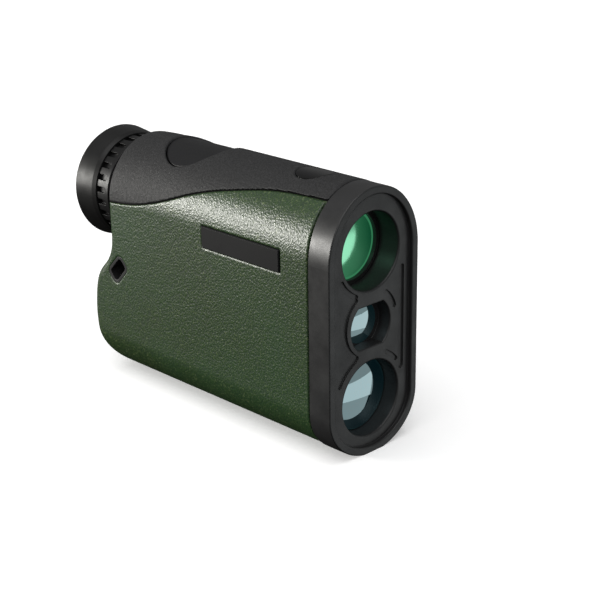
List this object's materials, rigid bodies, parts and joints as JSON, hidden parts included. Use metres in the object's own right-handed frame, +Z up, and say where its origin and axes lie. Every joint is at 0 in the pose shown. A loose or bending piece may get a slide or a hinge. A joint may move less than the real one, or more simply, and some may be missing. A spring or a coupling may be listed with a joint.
{
  "type": "laser rangefinder",
  "caption": "Compact hand-held laser rangefinder: pebble-grained green body with black cover, stadium bezel with stacked lenses, top button and turning rubber eyepiece.",
  "frame": {"origin": "centre of the footprint, on the flat resting land under the body", "axes": "+X forward out of the lens face, +Y to the user's left, +Z up through the measure button"},
  "size_m": [0.1103, 0.0355, 0.0771],
  "materials": {
    "green_armour": "pebble-grained forest green rubber armour, satin",
    "cover_black": "fine spark-eroded grain, matte near-black",
    "bezel_black": "smooth satin black moulding",
    "seal_rubber": "soft black seal",
    "plate_black": "blank black plate, satin",
    "badge_gloss": "blank domed black inlay, gloss",
    "button_rubber": "smooth dark rubber key",
    "eyecup_rubber": "smooth black rubber, satin",
    "ring_black": "notched black grip ring",
    "anodised_black": "black anodised",
    "green_coated_glass": "green multi-coated objective",
    "blue_coated_glass": "blue-grey coated lens",
    "clear_glass": "polished optical glass",
    "filter_glass": "deep red band filter",
    "inner_plastic": "glass-filled black plastic",
    "ribbon_amber": "amber flexible circuit",
    "board_green": "green solder mask",
    "chip_black": "moulded chip black",
    "capacitor_can": "drawn can",
    "ferrite_grey": "ferrite grey",
    "switch_plunger": "light plastic",
    "brass_can": "gold-flashed can",
    "battery_can": "metal can in a plain sleeve",
    "contact_brass": "plated contact",
    "spring_steel": "plated spring steel",
    "cap_black": "satin black cap",
    "screw_steel": "zinc-plated"
  },
  "bodies": {
    "housing": {"battery_contact": "contact_brass", "battery_tube": "inner_plastic", "bezel_gasket": "seal_rubber", "bezel_screws": "screw_steel", "board_screws": "screw_steel", "display_frame": "inner_plastic", "display_panel": "clear_glass", "display_ribbon": "ribbon_amber", "emitter_lens": "blue_coated_glass", "emitter_tube": "inner_plastic", "eyepiece_barrel": "anodised_black", "front_bezel": "bezel_black", "green_shell": "green_armour", "half_penta_prism": "clear_glass", "lanyard_sleeve": "bezel_black", "laser_board": "board_green", "laser_diode": "brass_can", "main_board": "board_green", "measure_switch": "chip_black", "menu_switch": "chip_black", "nameplate": "plate_black", "objective_cell": "anodised_black", "objective_crown_lens": "green_coated_glass", "objective_flint_lens": "clear_glass", "objective_lock_ring": "anodised_black", "optics_tray": "inner_plastic", "photodiode": "brass_can", "power_board": "board_green", "power_capacitor": "capacitor_can", "power_choke": "ferrite_grey", "prism_box": "inner_plastic", "processor_chip": "chip_black", "receiver_board": "board_green", "receiver_cone": "inner_plastic", "receiver_filter": "filter_glass", "receiver_lens": "blue_coated_glass", "roof_prism": "clear_glass", "seam_gasket": "seal_rubber", "storage_capacitor": "capacitor_can", "switch_board": "board_green", "switch_board_screws": "screw_steel", "timing_chip": "chip_black", "top_cover": "cover_black", "top_inlay": "badge_gloss", "tray_screws": "screw_steel"},
    "measure_button": {"measure_button": "button_rubber", "measure_switch_plunger": "switch_plunger"},
    "menu_key": {"menu_key": "button_rubber", "menu_switch_plunger": "switch_plunger"},
    "diopter": {"diopter_ring": "ring_black", "rubber_eyecup": "eyecup_rubber"},
    "eye_lens_group": {"eye_lens_cell": "anodised_black", "eye_lens": "clear_glass", "eye_lens_lock_ring": "anodised_black", "field_lens": "clear_glass"},
    "battery_unit": {"battery": "battery_can", "cap_seal_ring": "seal_rubber"},
    "battery_cap": {"battery_cap": "cap_black", "cap_contact_spring": "spring_steel"}
  },
  "joints": [
    {"name": "measure_press", "type": "slide", "parent": "housing", "child": "measure_button", "axis": [0, 0, -1], "range_m": [0, 0.0005], "stiffness_N_per_m": 2500, "springref_m": -0.0004},
    {"name": "menu_press", "type": "slide", "parent": "housing", "child": "menu_key", "axis": [0, -1, 0], "range_m": [0, 0.0005], "stiffness_N_per_m": 2500, "springref_m": -0.0003},
    {"name": "diopter_turn", "type": "hinge", "parent": "housing", "child": "diopter", "pos_m": [-0.0435, 0, 0.0579], "axis": [1, 0, 0], "range_deg": [-60, 60]},
    {"name": "eye_lens_travel", "type": "slide", "parent": "housing", "child": "eye_lens_group", "axis": [1, 0, 0], "range_m": [-0.00089, 0.00089]},
    {"name": "battery_withdraw", "type": "slide", "parent": "housing", "child": "battery_unit", "axis": [-1, 0, 0], "range_m": [0, 0.045]},
    {"name": "battery_cap_turn", "type": "hinge", "parent": "battery_unit", "child": "battery_cap", "pos_m": [-0.0478, 0, 0.0203], "axis": [1, 0, 0], "range_deg": [0, 90]}
  ],
  "couplings": [
    {"joint": "diopter_turn", "follows": "eye_lens_travel", "rad_per_m": 1176.5}
  ]
}
